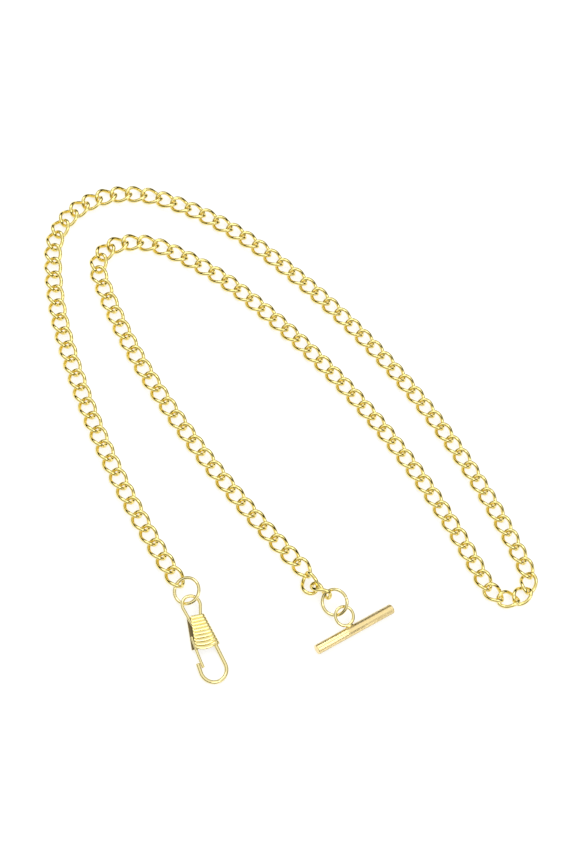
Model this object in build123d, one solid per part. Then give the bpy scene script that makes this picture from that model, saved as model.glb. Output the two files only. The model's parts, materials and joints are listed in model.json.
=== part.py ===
"""A pocket watch chain, laid out flat in a double loop as it lies on a table.

134 twisted curb links run from a spring-gate clasp, which holds the watch, to a
toggle bar, which goes through a waistcoat buttonhole. The chain rests on Z = 0,
its long way lies along X, and the origin is under the middle of its outline.
All sizes are in millimetres.
"""

from build123d import *
import math
import os

# Curb links: a wire ring whose two ends are twisted opposite ways
WIRE = 1.15
LINK_HALF_LENGTH = 3.25  # from the link's centre to the middle of its end wire
LINK_HALF_WIDTH = 2.35
END_TWIST = 50.0  # degrees that each end is turned from flat
SIDE_RISE = 36.9  # slope of the wire where it crosses the middle of a side
ARC_SHARE = 0.7  # share of the second of the two arcs in each quarter
PITCH = 5.0  # from one link's centre to the next along a straight run
LINK_HEIGHT = 1.6  # a flat link's centre above the table

# How the chain lies: links in a row, and the turn in degrees that each one makes
START = (8.0, -54.9)
START_HEADING = 160.1
LAY = [
    (17, -1.0),
    (6, -2.5),
    (3, -12.5),
    (4, -11.0),
    (3, -8.5),
    (7, -3.0),
    (27, -1.15),
    (1, -33.0),
    (3, -40.0),
    (1, -24.0),
    (24, 1.1),
    (6, 3.1),
    (1, 13.0),
    (2, 14.5),
    (3, 29.0),
    (8, 1.6),
    (14, 0.85),
]
# The last three links are lifted and rolled by the jump ring: x, y, z, heading, roll, lift
LAST_LINKS = [
    (35.68, -27.78, 1.62, -14.25, -1.0, 0.0),
    (39.92, -30.31, 2.43, -40.0, 34.8, -2.6),
    (44.27, -30.38, 2.81, -2.4, -62.2, 10.0),
]
# Links that move as one piece: how many groups in a row, and links in each
GROUPS = [(3, 1), (21, 3), (4, 2), (10, 3), (3, 2), (7, 3), (3, 1)]

# Jump rings: a bent wire whose cut ends meet with a hairline gap
RING_WIRE = 1.05
RING_RADIUS = 3.87
RING_CUT = 2.0  # degrees
# centre, direction of the level line through it, tilt about that line, angle of the cut
CLASP_RING = ((13.25, -56.32, 2.58), -34.7, 31.7, -100.0)
BAR_RING = ((49.6, -30.91, 3.18), -12.9, 40.0, 70.0)

# Clasp, in its own frame: X from the eye to the hook, Y across, Z up, wires at Z = 0
CLASP_PLACE = (14.5, -56.8, 2.55)
CLASP_HEADING = -37.0
CLASP_DROP = 3.86  # degrees that the clasp slopes down to its hook
CLASP_ROLL = -3.0
EYE_WIRE = 1.0
EYE_RADIUS = 2.73
EYE_CENTRE = (3.2, -0.18)
EYE_CLOSING = 15.0  # degrees that each leg leans in
EYE_END = 10.5
HOOK_WIRE = 1.2
HOOK_RADIUS = 3.92
HOOK_CENTRE = (23.2, 1.15)
HOOK_ROOT = 11.5
HOOK_LEAN = 11.5
HOOK_FLARE = 4.0
HOOK_TIP = 20.6
GATE_WIRE = 0.9
GATE_ROOT = (12.5, -2.55)
GATE_TIP = (22.2, -1.6)
SLEEVE_SHEET = 0.4
SLEEVE_GAP = HOOK_WIRE + 0.02
SLEEVE_TOP = (6.6, -2.3, 2.75)  # x, left edge, folded edge
SLEEVE_FOOT = (16.3, -3.35, 5.0)
SLEEVE_BULGE = 0.9  # rise of the curved foot
SLEEVE_SETBACK = 0.7  # the ribbed face stops this far short of the back's edge
RIBS = 10
RIB_RADIUS = 0.4
RIB_HEIGHT = 0.25

# Toggle bar, with a ring brazed to its middle
BAR_LENGTH = 27.3
BAR_DIAMETER = 3.0
BAR_CHAMFER = 0.25
BAR_CENTRE = (59.1, -33.1)
BAR_HEADING = 68.0
TOGGLE_WIRE = 0.95
TOGGLE_RADIUS = 2.85
TOGGLE_OFFSET = -1.0  # along the bar, from its middle
TOGGLE_LIFT = 13.6  # degrees above level
BRAZE_RADIUS = 1.15
BRAZE_GAP = 0.01  # keeps the solids apart


def tilted_plane(origin, heading, roll=0.0, lift=0.0):
    """A plane whose X points along heading, raised by lift and rolled about itself."""
    h, r, u = (math.radians(a) for a in (heading, roll, lift))
    ahead = Vector(math.cos(h), math.sin(h), 0)
    left = Vector(-math.sin(h), math.cos(h), 0)
    up = Vector(0, 0, 1)
    x_dir = ahead * math.cos(u) + up * math.sin(u)
    raised = up * math.cos(u) - ahead * math.sin(u)
    return Plane(origin, x_dir=x_dir, z_dir=raised * math.cos(r) - left * math.sin(r))


def wire_along(path, diameter):
    """A round wire along a path."""
    section = Plane(origin=path @ 0, z_dir=path % 0) * Circle(diameter / 2)
    return sweep(section, path=path)


def link_shape():
    """One curb link about its own centre, long way along X.

    A quarter of the centre line is two arcs that meet smoothly. Half turns about
    X and Y repeat it.
    """
    twist, rise = math.radians(END_TWIST), math.radians(SIDE_RISE)
    end, side = Vector(LINK_HALF_LENGTH, 0, 0), Vector(0, LINK_HALF_WIDTH, 0)
    end_dir = Vector(0, math.cos(twist), -math.sin(twist))
    side_dir = Vector(-math.cos(rise), 0, math.sin(rise))
    across = side - end
    reach = end_dir + side_dir * ARC_SHARE
    a = reach.dot(reach) - (1 + ARC_SHARE) ** 2
    b = -2 * across.dot(reach)
    c = across.dot(across)
    leg = (-b - math.sqrt(b * b - 4 * a * c)) / (2 * a)
    first, second = end + end_dir * leg, side - side_dir * (ARC_SHARE * leg)
    meeting = first + (second - first) / (1 + ARC_SHARE)
    quarter = [
        TangentArc(end, meeting, tangent=end_dir),
        TangentArc(meeting, side, tangent=(second - first).normalized()),
    ]
    half_path = Wire(quarter + [arc.rotate(Axis.Y, 180) for arc in quarter])
    half = wire_along(half_path, WIRE)
    return half + half.rotate(Axis.X, 180)


def link_planes():
    """Where each link lies, from the clasp to the bar."""
    x, y = START
    heading = START_HEADING
    planes = [tilted_plane((x, y, LINK_HEIGHT), heading)]
    for count, turn in LAY:
        for _ in range(count):
            x += PITCH / 2 * math.cos(math.radians(heading))
            y += PITCH / 2 * math.sin(math.radians(heading))
            heading += turn
            x += PITCH / 2 * math.cos(math.radians(heading))
            y += PITCH / 2 * math.sin(math.radians(heading))
            planes.append(tilted_plane((x, y, LINK_HEIGHT), heading))
    for x, y, z, heading, roll, lift in LAST_LINKS:
        planes.append(tilted_plane((x, y, z), heading, roll, lift))
    return planes


def link_groups():
    """The first and last link of each group, counted from 0 at the clasp."""
    groups = []
    first = 0
    for count, size in GROUPS:
        for _ in range(count):
            groups.append((first, first + size - 1))
            first += size
    return groups


def group_name(first, last):
    """links_004_006 for a group, link_001 for one link, counted from 1 at the clasp."""
    if first == last:
        return f"link_{first + 1:03d}"
    return f"links_{first + 1:03d}_{last + 1:03d}"


def jump_ring(centre, heading, tilt, cut_angle):
    """A jump ring that is level along heading and tilted about that line."""
    plane = tilted_plane(centre, heading, roll=tilt)
    path = plane * CenterArc((0, 0), RING_RADIUS, cut_angle + RING_CUT / 2, 360 - RING_CUT)
    return wire_along(path, RING_WIRE)


def clasp_plane():
    return tilted_plane(CLASP_PLACE, CLASP_HEADING, CLASP_ROLL, -CLASP_DROP)


def clasp_eye():
    """The bent wire loop at the top of the clasp, with both legs held in the sleeve."""
    x, y = EYE_CENTRE
    lean = math.radians(EYE_CLOSING)
    arc = CenterArc((x, y), EYE_RADIUS, 90 - EYE_CLOSING, 180 + 2 * EYE_CLOSING)
    run = EYE_END - x - EYE_RADIUS * math.sin(lean)
    inner = EYE_RADIUS * math.cos(lean) - run * math.tan(lean)
    legs = Line((EYE_END, y + inner), arc @ 0), Line(arc @ 1, (EYE_END, y - inner))
    return wire_along(Wire([legs[0], arc, legs[1]]), EYE_WIRE)


def clasp_hook():
    """The thicker wire that leaves the sleeve, turns through a U and ends at its tip."""
    x, y = HOOK_CENTRE
    arc = CenterArc((x, y), HOOK_RADIUS, 90 + HOOK_LEAN, -(180 + HOOK_LEAN - HOOK_FLARE))
    start, end = arc @ 0, arc @ 1
    root_y = start.Y - (start.X - HOOK_ROOT) * math.tan(math.radians(HOOK_LEAN))
    tip_y = end.Y - (end.X - HOOK_TIP) * math.tan(math.radians(HOOK_FLARE))
    shank = Line((HOOK_ROOT, root_y), start)
    nose = Line(end, (HOOK_TIP, tip_y))
    return wire_along(Wire([shank, arc, nose]), HOOK_WIRE)


def clasp_gate():
    """The thin spring wire that closes the hook from inside."""
    return wire_along(Line(GATE_ROOT, GATE_TIP), GATE_WIRE)


def clasp_sleeve():
    """A strip of sheet folded over the wires along one long side, ribbed on its face."""
    top_x, top_open, top_fold = SLEEVE_TOP
    foot_x, foot_open, foot_fold = SLEEVE_FOOT
    foot_mid = ((foot_x + SLEEVE_BULGE), (foot_open + foot_fold) / 2)
    corners = (top_x, top_open), (top_x, top_fold), (foot_x, foot_fold), (foot_x, foot_open)
    outline = Wire([
        Line(corners[0], corners[1]),
        Line(corners[1], corners[2]),
        ThreePointArc(corners[2], foot_mid, corners[3]),
        Line(corners[3], corners[0]),
    ])
    height = SLEEVE_GAP + 2 * SLEEVE_SHEET
    blank = extrude(Plane.XY.offset(-height / 2) * make_face(outline), height)
    folded = [e for e in blank.edges() if (e @ 0).Y > 2 and (e @ 1).Y > 2 and abs((e @ 0).X - (e @ 1).X) > 1]
    shell = fillet(folded, height * 0.4)
    reach = foot_x - top_x
    inner = SLEEVE_SHEET / math.cos(math.atan2(foot_fold - top_fold, reach))
    slope = (foot_fold - top_fold) / reach
    before, after = top_x - 1, foot_x + 2
    cavity = Wire.make_polygon([
        Vector(before, top_open - 3),
        Vector(before, top_fold - inner - slope),
        Vector(after, foot_fold - inner + 2 * slope),
        Vector(after, top_open - 3),
    ])
    shell -= extrude(Plane.XY.offset(-SLEEVE_GAP / 2) * make_face(cavity), SLEEVE_GAP)
    setback = Wire.make_polygon([
        Vector(before, top_open - 3),
        Vector(before, top_open + SLEEVE_SETBACK),
        Vector(after, foot_open + SLEEVE_SETBACK),
        Vector(after, top_open - 3),
    ])
    shell -= extrude(make_face(setback), height)
    flat_end = foot_x - RIB_RADIUS
    step = (flat_end - top_x - 2 * RIB_RADIUS) / (RIBS - 1)
    rib_zone = extrude(Plane.XY.offset(height / 2 - SLEEVE_SHEET / 2) * make_face(
        Wire.make_polygon([
            Vector(top_x, top_open + SLEEVE_SETBACK),
            Vector(top_x, top_fold - height * 0.4),
            Vector(foot_x, foot_fold - height * 0.4),
            Vector(foot_x, foot_open + SLEEVE_SETBACK),
        ])
    ), 1)
    for n in range(RIBS):
        x = top_x + 1.5 * RIB_RADIUS + n * step
        bar = Cylinder(RIB_RADIUS, 12, rotation=(90, 0, 0))
        bar = Pos(x, 0.5, height / 2 - RIB_RADIUS + RIB_HEIGHT) * bar
        shell += bar & rib_zone
    return shell


def toggle_planes():
    """The bar's plane, X along the bar, and the plane of the ring on it."""
    x, y = BAR_CENTRE
    bar = tilted_plane((x, y, BAR_DIAMETER / 2), BAR_HEADING)
    lift = math.radians(TOGGLE_LIFT)
    towards = bar.y_dir * math.cos(lift) + Vector(0, 0, 1) * math.sin(lift)
    away = BAR_DIAMETER / 2 + TOGGLE_WIRE / 2 + TOGGLE_RADIUS
    centre = bar.origin + bar.x_dir * TOGGLE_OFFSET + towards * away
    return bar, Plane(centre, x_dir=towards, z_dir=bar.x_dir.cross(towards))


def toggle():
    """The bar, the ring that carries it and the bead of braze between the two."""
    bar_plane, ring_plane = toggle_planes()
    rod = Cylinder(BAR_DIAMETER / 2, BAR_LENGTH, rotation=(0, 90, 0))
    rod = chamfer(rod.edges().filter_by(GeomType.CIRCLE), BAR_CHAMFER)
    rod = bar_plane * rod
    ring = ring_plane * Torus(TOGGLE_RADIUS, TOGGLE_WIRE / 2)
    foot = ring_plane * Pos(-(TOGGLE_RADIUS + TOGGLE_WIRE / 2), 0, 0)
    bead = foot * Sphere(BRAZE_RADIUS)
    bead -= bar_plane * Cylinder(BAR_DIAMETER / 2 + BRAZE_GAP, BAR_LENGTH, rotation=(0, 90, 0))
    bead -= ring_plane * Torus(TOGGLE_RADIUS, TOGGLE_WIRE / 2 + BRAZE_GAP)
    bead = max(bead.solids(), key=lambda solid: solid.volume)
    return rod, ring, bead


def chain_nodes():
    """The solids of every node, by node name."""
    link = link_shape().solid()
    planes = link_planes()
    nodes = {}
    for first, last in link_groups():
        links = [link.moved(planes[i].location) for i in range(first, last + 1)]
        nodes[group_name(first, last)] = links
    clasp = clasp_plane()
    rod, ring, bead = toggle()
    fittings = {
        "jump_ring_clasp": jump_ring(*CLASP_RING),
        "clasp_eye": clasp * clasp_eye(),
        "clasp_hook": clasp * clasp_hook(),
        "clasp_gate": clasp * clasp_gate(),
        "clasp_sleeve": clasp * clasp_sleeve(),
        "jump_ring_bar": jump_ring(*BAR_RING),
        "toggle_bar": rod,
        "toggle_ring": ring,
        "toggle_braze": bead,
    }
    nodes.update({name: [shape.solid()] for name, shape in fittings.items()})
    return nodes


def origin_shift(nodes):
    """The move that puts the origin under the middle of the whole outline."""
    box = Compound([solid for solids in nodes.values() for solid in solids]).bounding_box()
    middle = (box.min + box.max) / 2
    return Vector(-middle.X, -middle.Y, -box.min.Z)


NODES = chain_nodes()
SHIFT = origin_shift(NODES)
os.makedirs("parts", exist_ok=True)
for node, solids in NODES.items():
    placed = [solid.translate(SHIFT) for solid in solids]
    shape = placed[0] if len(placed) == 1 else Compound(placed)
    export_step(shape, f"parts/{node}.step")
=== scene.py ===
import json
import math

import bpy
from mathutils import Matrix, Vector


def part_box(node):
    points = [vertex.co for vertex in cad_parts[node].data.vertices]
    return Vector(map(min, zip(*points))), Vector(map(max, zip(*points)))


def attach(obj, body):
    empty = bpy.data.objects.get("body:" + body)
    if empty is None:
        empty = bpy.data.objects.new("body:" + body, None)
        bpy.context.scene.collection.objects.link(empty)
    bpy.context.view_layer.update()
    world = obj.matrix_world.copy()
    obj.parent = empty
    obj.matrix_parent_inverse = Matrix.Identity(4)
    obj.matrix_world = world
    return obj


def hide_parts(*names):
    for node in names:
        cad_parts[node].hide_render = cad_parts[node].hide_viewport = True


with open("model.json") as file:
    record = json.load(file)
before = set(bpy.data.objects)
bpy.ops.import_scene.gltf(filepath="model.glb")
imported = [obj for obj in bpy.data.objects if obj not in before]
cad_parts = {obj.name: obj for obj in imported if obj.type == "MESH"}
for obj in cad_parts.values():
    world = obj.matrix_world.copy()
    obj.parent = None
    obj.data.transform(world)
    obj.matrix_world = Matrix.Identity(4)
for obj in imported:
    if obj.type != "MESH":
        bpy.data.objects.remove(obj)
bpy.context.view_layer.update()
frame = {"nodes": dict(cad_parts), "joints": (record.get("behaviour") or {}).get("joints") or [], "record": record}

# The view: the chain lies on a table, and the camera stands in front of its right
# side, looks down on it and is turned, so that the loops run down to the right.
# The lens is long, as it is for small goods, so that near and far links look alike.
camera_spot = (0.06883, -0.2386, 0.50826)
table_z = min(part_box(node)[0].z for node in frame["nodes"])
looking_down = math.radians(62.7)
facing = math.radians(104.0)
turned = math.radians(24.43)
ahead = Vector((
    math.cos(facing) * math.cos(looking_down),
    math.sin(facing) * math.cos(looking_down),
    -math.sin(looking_down),
))
level_right = Vector((math.sin(facing), -math.cos(facing), 0))
level_up = level_right.cross(ahead)
right = level_right * math.cos(turned) + level_up * math.sin(turned)
up = right.cross(ahead)
camera = bpy.data.objects.new("camera", bpy.data.cameras.new("camera"))
bpy.context.scene.collection.objects.link(camera)
camera.data.lens = 76.67
camera.data.sensor_width = 36
camera.data.clip_start = 0.01
camera_turn = Matrix((right, up, -ahead)).transposed().to_4x4()
camera.matrix_world = Matrix.Translation(camera_spot) @ camera_turn
bpy.context.scene.camera = camera

# The table: a wide light table, matt white and lit from inside so that no shadow is
# hard. The room above it is bright, and dark low down all round: polished metal shows
# that as thin dark lines. Two soft boxes hang overhead, and a white card stands low.
table_radius = 6.0
below_links = 0.00002


class Socket:
    """A socket of a node tree that takes part in sums and feeds further nodes."""

    def __init__(self, tree, out):
        self.tree = tree
        self.out = out

    def add(self, kind, settings, sockets, out=0):
        """Adds a node: its settings first, then what goes into its sockets."""
        node = self.tree.nodes.new(kind)
        for key, value in settings.items():
            if key == "stops":
                stops = node.color_ramp.elements
                for stop, (position, colour) in zip(stops, (value[0], value[-1])):
                    stop.position = position
                    stop.color = (*colour, 1)
                for position, colour in value[1:-1]:
                    stops.new(position).color = (*colour, 1)
            else:
                setattr(node, key, value)
        for key, value in sockets.items():
            if isinstance(value, Socket):
                self.tree.links.new(value.out, node.inputs[key])
            else:
                node.inputs[key].default_value = value
        return Socket(self.tree, node.outputs[out])

    def math(self, operation, other):
        return self.add("ShaderNodeMath", {"operation": operation}, {0: self, 1: other})

    def __add__(self, other):
        return self.math("ADD", other)

    __radd__ = __add__

    def __sub__(self, other):
        return self.math("SUBTRACT", other)

    def __mul__(self, other):
        return self.math("MULTIPLY", other)

    __rmul__ = __mul__


def new_material(name):
    """An empty finish: its tree, its shader, and the socket of the place on a piece."""
    material = bpy.data.materials.new(name)
    material.use_nodes = True
    tree = material.node_tree
    place = tree.nodes.new("ShaderNodeTexCoord").outputs["Object"]
    return material, tree, tree.nodes["Principled BSDF"], Socket(tree, place)


def deselect():
    """Operators act on all that is selected, so each piece starts with nothing."""
    bpy.ops.object.select_all(action="DESELECT")


deselect()
bpy.ops.mesh.primitive_circle_add(
    vertices=96,
    radius=table_radius,
    fill_type="NGON",
    location=(0, 0, table_z - below_links),
)
table = bpy.context.object
table.name = "table_top"
white, tree, shader, place = new_material("table_white")
cloud = place.add(
    "ShaderNodeTexNoise", {}, {"Vector": place, "Scale": 3.0, "Detail": 2.0}
)
tree.links.new((0.82 + 0.04 * cloud).out, shader.inputs["Roughness"])
shader.inputs["Base Color"].default_value = (0.4, 0.4, 0.4, 1)
shader.inputs["Specular IOR Level"].default_value = 0.1
shader.inputs["Emission Color"].default_value = (1, 1, 1, 1)
shader.inputs["Emission Strength"].default_value = 0.7
table.data.materials.append(white)

# The dark band leans a little away from the card, so it stands higher on that side.
band_axis = (-0.087, 0.0, 0.996)
room_from_floor_up = [
    (0.0, (0.4, 0.4, 0.4)),
    (0.02, (0.03, 0.03, 0.0291)),
    (0.50, (0.03, 0.03, 0.0291)),
    (0.58, (0.98, 0.98, 0.9506)),
    (1.0, (1.0, 1.0, 0.97)),
]
world = bpy.data.worlds.new("lamp_room")
bpy.context.scene.world = world
world.use_nodes = True
tree = world.node_tree
direction = Socket(tree, tree.nodes.new("ShaderNodeTexCoord").outputs["Generated"])
height = direction.add(
    "ShaderNodeVectorMath",
    {"operation": "DOT_PRODUCT"},
    {0: direction, 1: band_axis},
    out=1,
)
room = height.add("ShaderNodeValToRGB", {"stops": room_from_floor_up}, {"Fac": height})
tree.links.new(room.out, tree.nodes["Background"].inputs["Color"])
tree.nodes["Background"].inputs["Strength"].default_value = 1.08

for name, at, wide, high, watts in (
    ("soft_box_left", (-0.45, 0.25, 0.75), 0.5, 0.3, 1.4),
    ("soft_box_right", (0.5, -0.1, 0.8), 0.4, 0.24, 1.0),
    ("white_card", (0.96, 0.05, 0.22), 0.8, 0.35, 1.0),
):
    lamp = bpy.data.objects.new(name, bpy.data.lights.new(name, "AREA"))
    bpy.context.scene.collection.objects.link(lamp)
    lamp.data.shape = "RECTANGLE"
    lamp.data.size = wide
    lamp.data.size_y = high
    lamp.data.energy = watts
    lamp.location = at
    lamp.rotation_euler = (-Vector(at)).to_track_quat("-Z", "Y").to_euler()
    lamp.visible_camera = False
bpy.context.scene.view_settings.view_transform = "Standard"

# The chain: 134 curb links, each a brass wire ring that is pressed oval, twisted so
# that its ends face opposite ways, and plated with polished yellow gold. Each link
# is bent from round wire in eight short arcs, and lies in the two links beside it.
mm = 0.001
link_wire = 1.15 * mm
half_length = 3.25 * mm
half_width = 2.35 * mm
end_twist = math.radians(50.0)
side_rise = math.radians(36.9)
arc_share = 0.7
pitch = 5.0 * mm
gold_yellow = (0.91, 0.79, 0.34)
gold_deep = (0.86, 0.69, 0.22)


def gold_plate(name, colour, deeper, polish):
    """Polished plate over drawn wire: faint waves, a fine grain and soft rubbed spots."""
    material, tree, shader, place = new_material(name)
    waves = place.add(
        "ShaderNodeTexNoise", {}, {"Vector": place, "Scale": 420.0, "Detail": 2.0}
    )
    grain = place.add(
        "ShaderNodeTexNoise", {}, {"Vector": place, "Scale": 4200.0, "Detail": 4.0}
    )
    rubbed = place.add(
        "ShaderNodeTexNoise", {}, {"Vector": place, "Scale": 130.0, "Detail": 5.0}
    )
    tint = place.add(
        "ShaderNodeMix",
        {"data_type": "RGBA"},
        {0: rubbed * 0.8 + grain * 0.2 - 0.1, 6: (*colour, 1), 7: (*deeper, 1)},
        out=2,
    )
    tree.links.new(tint.out, shader.inputs["Base Color"])
    tree.links.new((polish + 0.04 * rubbed + 0.03 * grain).out, shader.inputs["Roughness"])
    relief = place.add(
        "ShaderNodeBump",
        {},
        {"Strength": 0.12, "Distance": 0.00002, "Height": waves + 0.1 * grain},
    )
    tree.links.new(relief.out, shader.inputs["Normal"])
    shader.inputs["Metallic"].default_value = 1.0
    return material


def start_wire(name, at, along, thick, sides):
    """A round end of wire, open, that is drawn out by the calls that follow it."""
    deselect()
    bpy.ops.mesh.primitive_circle_add(
        vertices=sides,
        radius=thick / 2,
        location=at,
        rotation=along.to_track_quat("Z", "Y").to_euler(),
    )
    wire = bpy.context.object
    wire.name = name
    bpy.ops.object.transform_apply(location=True, rotation=True, scale=True)
    bpy.ops.object.mode_set(mode="EDIT")
    bpy.ops.mesh.select_all(action="SELECT")
    return wire


def bend_wire(at, along, centre, turn, steps):
    """Bends the wire round a centre. Gives back where it has come to and its heading."""
    axis = along.cross(centre - at).normalized()
    bpy.ops.mesh.spin(steps=steps, angle=-turn, center=centre, axis=axis)
    turned_by = Matrix.Rotation(turn, 3, axis)
    return centre + turned_by @ (at - centre), turned_by @ along


def bend_wire_to(at, along, goal, steps):
    """Bends the wire in one arc that starts along its heading and ends at the goal."""
    chord = goal - at
    half_turn = along.angle(chord)
    radius = chord.length / (2 * math.sin(half_turn))
    side = (chord - along * chord.dot(along)).normalized()
    return bend_wire(at, along, at + side * radius, 2 * half_turn, steps)


def run_wire(at, along, length):
    """Draws the wire straight on."""
    bpy.ops.mesh.extrude_region_move(TRANSFORM_OT_translate={"value": along * length})
    return at + along * length, along


def finish_wire(wire, end_round=0.0):
    """Joins a closed ring, or fills and rounds the two ends of an open wire."""
    if not end_round:
        bpy.ops.mesh.delete(type="VERT")
    bpy.ops.mesh.select_mode(type="EDGE")
    bpy.ops.mesh.select_all(action="DESELECT")
    bpy.ops.mesh.select_non_manifold()
    if end_round:
        bpy.ops.mesh.fill_holes(sides=0)
        bpy.ops.mesh.select_all(action="DESELECT")
        bpy.ops.object.mode_set(mode="OBJECT")
        ends = [face for face in wire.data.polygons if len(face.vertices) > 4]
        rims = {key for face in ends for key in face.edge_keys}
        for edge in wire.data.edges:
            edge.select = edge.key in rims
        bpy.ops.object.mode_set(mode="EDIT")
        bpy.ops.mesh.bevel(offset=end_round, segments=3, affect="EDGES")
    else:
        bpy.ops.mesh.bridge_edge_loops()
    bpy.ops.mesh.select_all(action="SELECT")
    bpy.ops.mesh.normals_make_consistent(inside=False)
    bpy.ops.object.mode_set(mode="OBJECT")
    bpy.ops.object.shade_smooth()
    return wire


def tilted(at, heading, roll=0.0, lift=0.0):
    """A place on a piece: X along heading, raised by lift and rolled about itself."""
    turn = Matrix.Rotation(math.radians(heading), 4, "Z")
    turn @= Matrix.Rotation(math.radians(-lift), 4, "Y")
    turn @= Matrix.Rotation(math.radians(roll), 4, "X")
    return Matrix.Translation(at) @ turn


# A quarter of the link is two arcs that meet smoothly, from its end to its side: the
# line between their corners is as long as one leg of each, which gives the legs.
link_end = Vector((half_length, 0, 0))
link_side = Vector((0, half_width, 0))
end_heading = Vector((0, math.cos(end_twist), -math.sin(end_twist)))
side_heading = Vector((-math.cos(side_rise), 0, math.sin(side_rise)))
across = link_side - link_end
reach = end_heading + side_heading * arc_share
square = reach.dot(reach) - (1 + arc_share) ** 2
linear = -2 * across.dot(reach)
root = math.sqrt(linear * linear - 4 * square * across.dot(across))
leg = (-linear - root) / (2 * square)
first_corner = link_end + end_heading * leg
second_corner = link_side - side_heading * (arc_share * leg)
meeting = first_corner + (second_corner - first_corner) / (1 + arc_share)
bends = [
    meeting,
    link_side,
    Vector((-meeting.x, meeting.y, -meeting.z)),
    -link_end,
    Vector((-meeting.x, -meeting.y, meeting.z)),
    -link_side,
    Vector((meeting.x, -meeting.y, -meeting.z)),
    link_end,
]
pattern_link = start_wire("pattern_link", link_end, end_heading, link_wire, 12)
at, along = link_end, end_heading
for number, goal in enumerate(bends):
    steps = 5 if number in (0, 3, 4, 7) else 4
    at, along = bend_wire_to(at, along, goal, steps)
finish_wire(pattern_link)

# How the links lie, from the clasp: how many, and the degrees that each turns. The
# first link's place is its box's middle. The last three have their own heading, roll
# and lift, because the chain rises on edge to the jump ring there.
first_heading = 160.1
lay = [
    (17, -1.0),
    (6, -2.5),
    (3, -12.5),
    (4, -11.0),
    (3, -8.5),
    (7, -3.0),
    (27, -1.15),
    (1, -33.0),
    (3, -40.0),
    (1, -24.0),
    (24, 1.1),
    (6, 3.1),
    (1, 13.0),
    (2, 14.5),
    (3, 29.0),
    (8, 1.6),
    (14, 0.85),
]
last_links = {
    131: (-14.25, -1.0, 0.0),
    132: (-40.0, 34.8, -2.6),
    133: (-2.4, -62.2, 10.0),
}


def middle(node):
    """The middle of a node's box."""
    low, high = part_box(node)
    return (low + high) / 2


link_places = []
heading = first_heading
spot = middle("link_001")
link_places.append(tilted(spot, heading))
half_pitch = Vector((pitch / 2, 0, 0))
for count, turn in lay:
    for _ in range(count):
        spot = spot + Matrix.Rotation(math.radians(heading), 3, "Z") @ half_pitch
        heading += turn
        spot = spot + Matrix.Rotation(math.radians(heading), 3, "Z") @ half_pitch
        link_places.append(tilted(spot, heading))
for number, (heading, roll, lift) in last_links.items():
    link_places.append(tilted(middle(f"link_{number + 1:03d}"), heading, roll, lift))

body_of = {
    node: body
    for body, nodes in frame["record"]["behaviour"]["bodies"].items()
    for node in nodes
}
link_gold = gold_plate("link_gold", gold_yellow, gold_deep, 0.02)
for node in sorted(name for name in frame["nodes"] if name.startswith("link")):
    numbers = [int(word) for word in node.split("_")[1:]]
    deselect()
    for number in range(numbers[0] - 1, numbers[-1]):
        link = pattern_link.copy()
        link.data = pattern_link.data.copy()
        link.data.transform(link_places[number])
        bpy.context.scene.collection.objects.link(link)
        link.select_set(True)
        bpy.context.view_layer.objects.active = link
    if len(numbers) > 1:
        bpy.ops.object.join()
    links = bpy.context.object
    links.name = node.replace("link", "chain")
    links.data.materials.append(link_gold)
    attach(links, body_of[node])
    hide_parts(node)
bpy.data.objects.remove(pattern_link)

# The jump rings: thinner round wire bent into an open ring and pressed shut, one
# at each end of the chain. The hairline cut where the wire's ends meet stays.
ring_wire = 1.05 * mm
ring_radius = 3.87 * mm
ring_cut = math.radians(2.0)
cut_edge_round = 0.04 * mm
ring_gold = gold_plate("ring_gold", (0.88, 0.78, 0.42), (0.84, 0.70, 0.30), 0.02)
for node, heading, tilt, cut in (
    ("jump_ring_clasp", -34.7, 31.7, -100.0),
    ("jump_ring_bar", -12.9, 40.0, 70.0),
):
    first = math.radians(cut) + ring_cut / 2
    at = Vector((math.cos(first), math.sin(first), 0)) * ring_radius
    along = Vector((-math.sin(first), math.cos(first), 0))
    ring = start_wire(node.replace("jump", "bent"), at, along, ring_wire, 20)
    bend_wire(at, along, Vector((0, 0, 0)), 2 * math.pi - ring_cut, 72)
    finish_wire(ring, end_round=cut_edge_round)
    ring.data.transform(tilted(middle(node), heading, roll=tilt))
    ring.data.materials.append(ring_gold)
    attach(ring, body_of[node])
    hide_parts(node)

# The clasp's wires: an eye for the jump ring, a thicker hook for the watch, and a
# thin springy gate that shuts the hook from inside. All three end in the sleeve.
# X runs from the eye to the hook, and Z is the gate's hinge line.
gate_joint = next(joint for joint in frame["joints"] if joint["name"] == "gate_open")
clasp_heading = -37.0
clasp_turn = tilted((0, 0, 0), clasp_heading, roll=-3.0, lift=-3.86)
gate_root = Vector((12.5, -2.55, 0)) * mm
clasp_place = Matrix.Translation(
    Vector(gate_joint["pos_m"]) - clasp_turn @ gate_root
) @ clasp_turn
clasp_gold = gold_plate("clasp_gold", (0.88, 0.78, 0.42), (0.84, 0.70, 0.30), 0.03)


def place_clasp_piece(piece, node, *finishes):
    """Sets a piece of the clasp in its place, finished and riding on its body."""
    piece.data.transform(clasp_place)
    for finish in finishes:
        piece.data.materials.append(finish)
    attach(piece, body_of[node])
    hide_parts(node)


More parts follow.
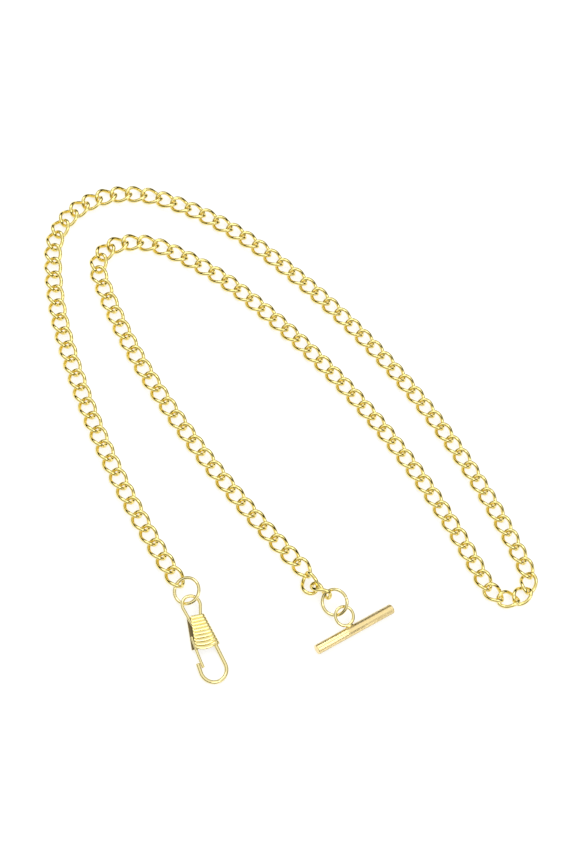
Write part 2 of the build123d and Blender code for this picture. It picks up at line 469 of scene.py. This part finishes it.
eye_wire = 1.0 * mm
eye_centre = Vector((3.2, -0.18, 0)) * mm
eye_radius = 2.73 * mm
eye_lean = math.radians(15.0)
leg_end_x = 10.5 * mm
leg_run = (leg_end_x - eye_centre.x) / math.cos(eye_lean)
leg_run -= eye_radius * math.tan(eye_lean)
along = Vector((-math.cos(eye_lean), math.sin(eye_lean), 0))
arc_start = eye_centre + Vector((math.sin(eye_lean), math.cos(eye_lean), 0)) * eye_radius
at = arc_start - along * leg_run
eye = start_wire("clasp_eye_wire", at, along, eye_wire, 20)
at, along = run_wire(at, along, leg_run)
at, along = bend_wire(at, along, eye_centre, math.pi + 2 * eye_lean, 40)
run_wire(at, along, leg_run)
finish_wire(eye, end_round=0.1 * mm)
place_clasp_piece(eye, "clasp_eye", clasp_gold)

hook_wire = 1.2 * mm
hook_root_x = 11.5 * mm
hook_tip_x = 20.6 * mm
hook_centre = Vector((23.2, 1.15, 0)) * mm
hook_radius = 3.92 * mm
hook_lean = math.radians(11.5)
hook_flare = math.radians(4.0)
along = Vector((math.cos(hook_lean), math.sin(hook_lean), 0))
arc_start = hook_centre + Vector((-along.y, along.x, 0)) * hook_radius
shank = (arc_start.x - hook_root_x) / along.x
at = arc_start - along * shank
hook = start_wire("clasp_hook_wire", at, along, hook_wire, 24)
at, along = run_wire(at, along, shank)
at, along = bend_wire(at, along, hook_centre, math.pi + hook_lean - hook_flare, 40)
run_wire(at, along, (at.x - hook_tip_x) / -along.x)
finish_wire(hook, end_round=0.25 * mm)
place_clasp_piece(hook, "clasp_hook", clasp_gold)

gate_wire = 0.9 * mm
gate_tip = Vector((22.2, -1.6, 0)) * mm
gate_bow = math.radians(-4.0)
along = Matrix.Rotation(gate_bow, 3, "Z") @ (gate_tip - gate_root).normalized()
gate = start_wire("clasp_gate_wire", gate_root, along, gate_wire, 20)
bend_wire_to(gate_root, along, gate_tip, 16)
finish_wire(gate, end_round=0.2 * mm)
place_clasp_piece(gate, "clasp_gate", clasp_gold)

# The sleeve: one strip of thin sheet folded over the wires along its right side and
# pressed flat, wider towards the hook, with ten ribs rolled across its face. The face
# stops short of the back on the open left side. The inside is rough like dull bare brass,
# and its colour is painted dark as the shade inside the fold.
sheet_thickness = 0.38 * mm
edge_round = 0.06 * mm
foot_bulge = 0.9 * mm
face_height = 1.01 * mm
rib_height = 0.25 * mm
rib_fullness = 0.5
rib_fade = 2.2
ribs = 10
face_setback = 0.7 * mm
back_lip = 0.05 * mm
# Each end of the sleeve: how far along it is, its open edge and its folded edge.
sleeve_top = Vector((6.6, -2.3, 2.75)) * mm
sleeve_foot = Vector((16.3, -3.35, 5.0)) * mm
sleeve_length = sleeve_foot.x - sleeve_top.x

# The sheet starts as a flat grid one unit wide and long, with real heights.
deselect()
bpy.ops.mesh.primitive_grid_add(x_subdivisions=100, y_subdivisions=12, size=1)
sleeve = bpy.context.object
sleeve.name = "clasp_sleeve_sheet"
for vertex in sleeve.data.vertices:
    ridge = abs(math.sin(math.pi * ribs * (vertex.co.x + 0.5))) ** rib_fullness
    vertex.co.z = rib_height * ridge
    vertex.select = vertex.co.y > 0.499
for edge in sleeve.data.edges:
    edge.select = all(sleeve.data.vertices[v].select for v in edge.vertices)
for face in sleeve.data.polygons:
    face.select = False
bpy.ops.object.mode_set(mode="EDIT")
bpy.ops.mesh.select_mode(type="EDGE")
bpy.ops.mesh.spin(steps=12, angle=math.pi, center=(0, 0.5, -face_height), axis=(1, 0, 0))
bpy.ops.mesh.extrude_region_move(TRANSFORM_OT_translate={"value": (0, -1.0, 0)})
bpy.ops.mesh.select_all(action="SELECT")
bpy.ops.mesh.normals_make_consistent(inside=False)
bpy.ops.object.mode_set(mode="OBJECT")

# The ribs run out round the fold, the back is flat, and the sheet takes its real width.
for vertex in sleeve.data.vertices:
    round_fold = math.atan2(max(0.0, vertex.co.y - 0.5), vertex.co.z + face_height)
    if vertex.co.z < -face_height and vertex.co.y <= 0.5:
        vertex.co.z = -2 * face_height
    elif vertex.co.y > 0.5:
        from_axis = math.hypot(vertex.co.y - 0.5, vertex.co.z + face_height)
        rib_left = (from_axis - face_height) * max(0.0, 1 - round_fold / rib_fade)
        from_axis = face_height + rib_left
        vertex.co.y = 0.5 + from_axis * math.sin(round_fold)
        vertex.co.z = from_axis * math.cos(round_fold) - face_height
    along_sheet = vertex.co.x + 0.5
    over_fold = max(0.0, vertex.co.y - 0.5)
    share = min(vertex.co.y, 0.5) + 0.5
    open_edge = sleeve_top.y + along_sheet * (sleeve_foot.y - sleeve_top.y)
    open_edge += face_setback if vertex.co.z > -face_height else -back_lip
    fold_edge = sleeve_top.z + along_sheet * (sleeve_foot.z - sleeve_top.z) - face_height
    bulge = foot_bulge * (1 - (2 * share - 1) ** 2) * along_sheet**3
    vertex.co.x = sleeve_top.x + sleeve_length * along_sheet + bulge
    vertex.co.y = open_edge + share * (fold_edge - open_edge) + over_fold
    vertex.co.z += face_height
for finish in (
    gold_plate("sleeve_gold", (0.88, 0.77, 0.38), (0.83, 0.68, 0.26), 0.06),
    # The inside's dark colour is painted shade for the hollow of the fold; its roughness is dull bare brass.
    gold_plate("sleeve_inside_painted_shade", (0.20, 0.15, 0.07), (0.12, 0.09, 0.04), 0.4),
):
    sleeve.data.materials.append(finish)
sheet = sleeve.modifiers.new("sheet", "SOLIDIFY")
sheet.thickness = sheet_thickness
sheet.offset = -1.0
sheet.material_offset = 1
bpy.ops.object.modifier_apply(modifier="sheet")
edges = sleeve.modifiers.new("edges", "BEVEL")
edges.width = edge_round
edges.segments = 2
edges.angle_limit = math.radians(60)
bpy.ops.object.modifier_apply(modifier="edges")
bpy.ops.object.shade_smooth()
place_clasp_piece(sleeve, "clasp_sleeve")

# The toggle: a solid turned bar, peach-coloured plate, with its two ends chamfered,
# and a small closed wire ring brazed to it a little off its middle.
bar_length = 27.3 * mm
bar_radius = 1.5 * mm
bar_chamfer = 0.28 * mm
bar_heading = 68.0
bar_place = tilted(middle("toggle_bar"), bar_heading)
deselect()
bpy.ops.mesh.primitive_cylinder_add(
    vertices=64, radius=bar_radius, depth=bar_length, rotation=(0, math.pi / 2, 0)
)
bar = bpy.context.object
bar.name = "toggle_bar_turned"
bpy.ops.object.transform_apply(location=True, rotation=True, scale=True)
for edge in bar.data.edges:
    ends_of_edge = [bar.data.vertices[v].co for v in edge.vertices]
    edge.select = abs(ends_of_edge[0].x - ends_of_edge[1].x) < bar_chamfer
bpy.ops.object.mode_set(mode="EDIT")
bpy.ops.mesh.select_mode(type="EDGE")
bpy.ops.mesh.bevel(offset=bar_chamfer, segments=4, affect="EDGES")
bpy.ops.mesh.select_all(action="SELECT")
bpy.ops.mesh.normals_make_consistent(inside=False)
bpy.ops.object.mode_set(mode="OBJECT")
bpy.ops.object.shade_smooth_by_angle(angle=math.radians(50))
bar.data.transform(bar_place)
bar_gold = gold_plate("bar_gold", (0.93, 0.78, 0.42), (0.92, 0.71, 0.33), 0.0)
bar.data.materials.append(bar_gold)
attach(bar, body_of["toggle_bar"])
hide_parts("toggle_bar")

toggle_wire = 0.95 * mm
toggle_radius = 2.85 * mm
toggle_lift = math.radians(13.6)
ring_middle = middle("toggle_ring")
bar_way = bar_place.to_3x3() @ Vector((1, 0, 0))
across_bar = bar_place.to_3x3() @ Vector((0, 1, 0))
outward = across_bar * math.cos(toggle_lift) + Vector((0, 0, 1)) * math.sin(toggle_lift)
at = ring_middle - outward * toggle_radius
toggle_ring = start_wire("toggle_ring_wire", at, bar_way, toggle_wire, 20)
bend_wire(at, bar_way, ring_middle, 2 * math.pi, 64)
finish_wire(toggle_ring)
toggle_ring.data.materials.append(ring_gold)
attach(toggle_ring, body_of["toggle_ring"])
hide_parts("toggle_ring")

bead_radius = 1.0 * mm
bead_shape = (1.25, 0.72, 0.62)
bead_sink = 0.1 * mm
deselect()
foot = ring_middle - outward * (toggle_radius + toggle_wire / 2 - bead_sink)
bpy.ops.mesh.primitive_uv_sphere_add(segments=32, ring_count=16, radius=bead_radius)
braze = bpy.context.object
braze.name = "toggle_braze_bead"
bpy.ops.object.mode_set(mode="EDIT")
bpy.ops.mesh.select_all(action="SELECT")
bpy.ops.transform.resize(value=bead_shape)
bpy.ops.object.mode_set(mode="OBJECT")
bead_turn = Matrix((bar_way, outward.cross(bar_way), outward)).transposed()
braze.data.transform(Matrix.Translation(foot) @ bead_turn.to_4x4())
bpy.ops.object.shade_smooth()
braze.data.materials.append(ring_gold)
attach(braze, body_of["toggle_braze"])
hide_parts("toggle_braze")
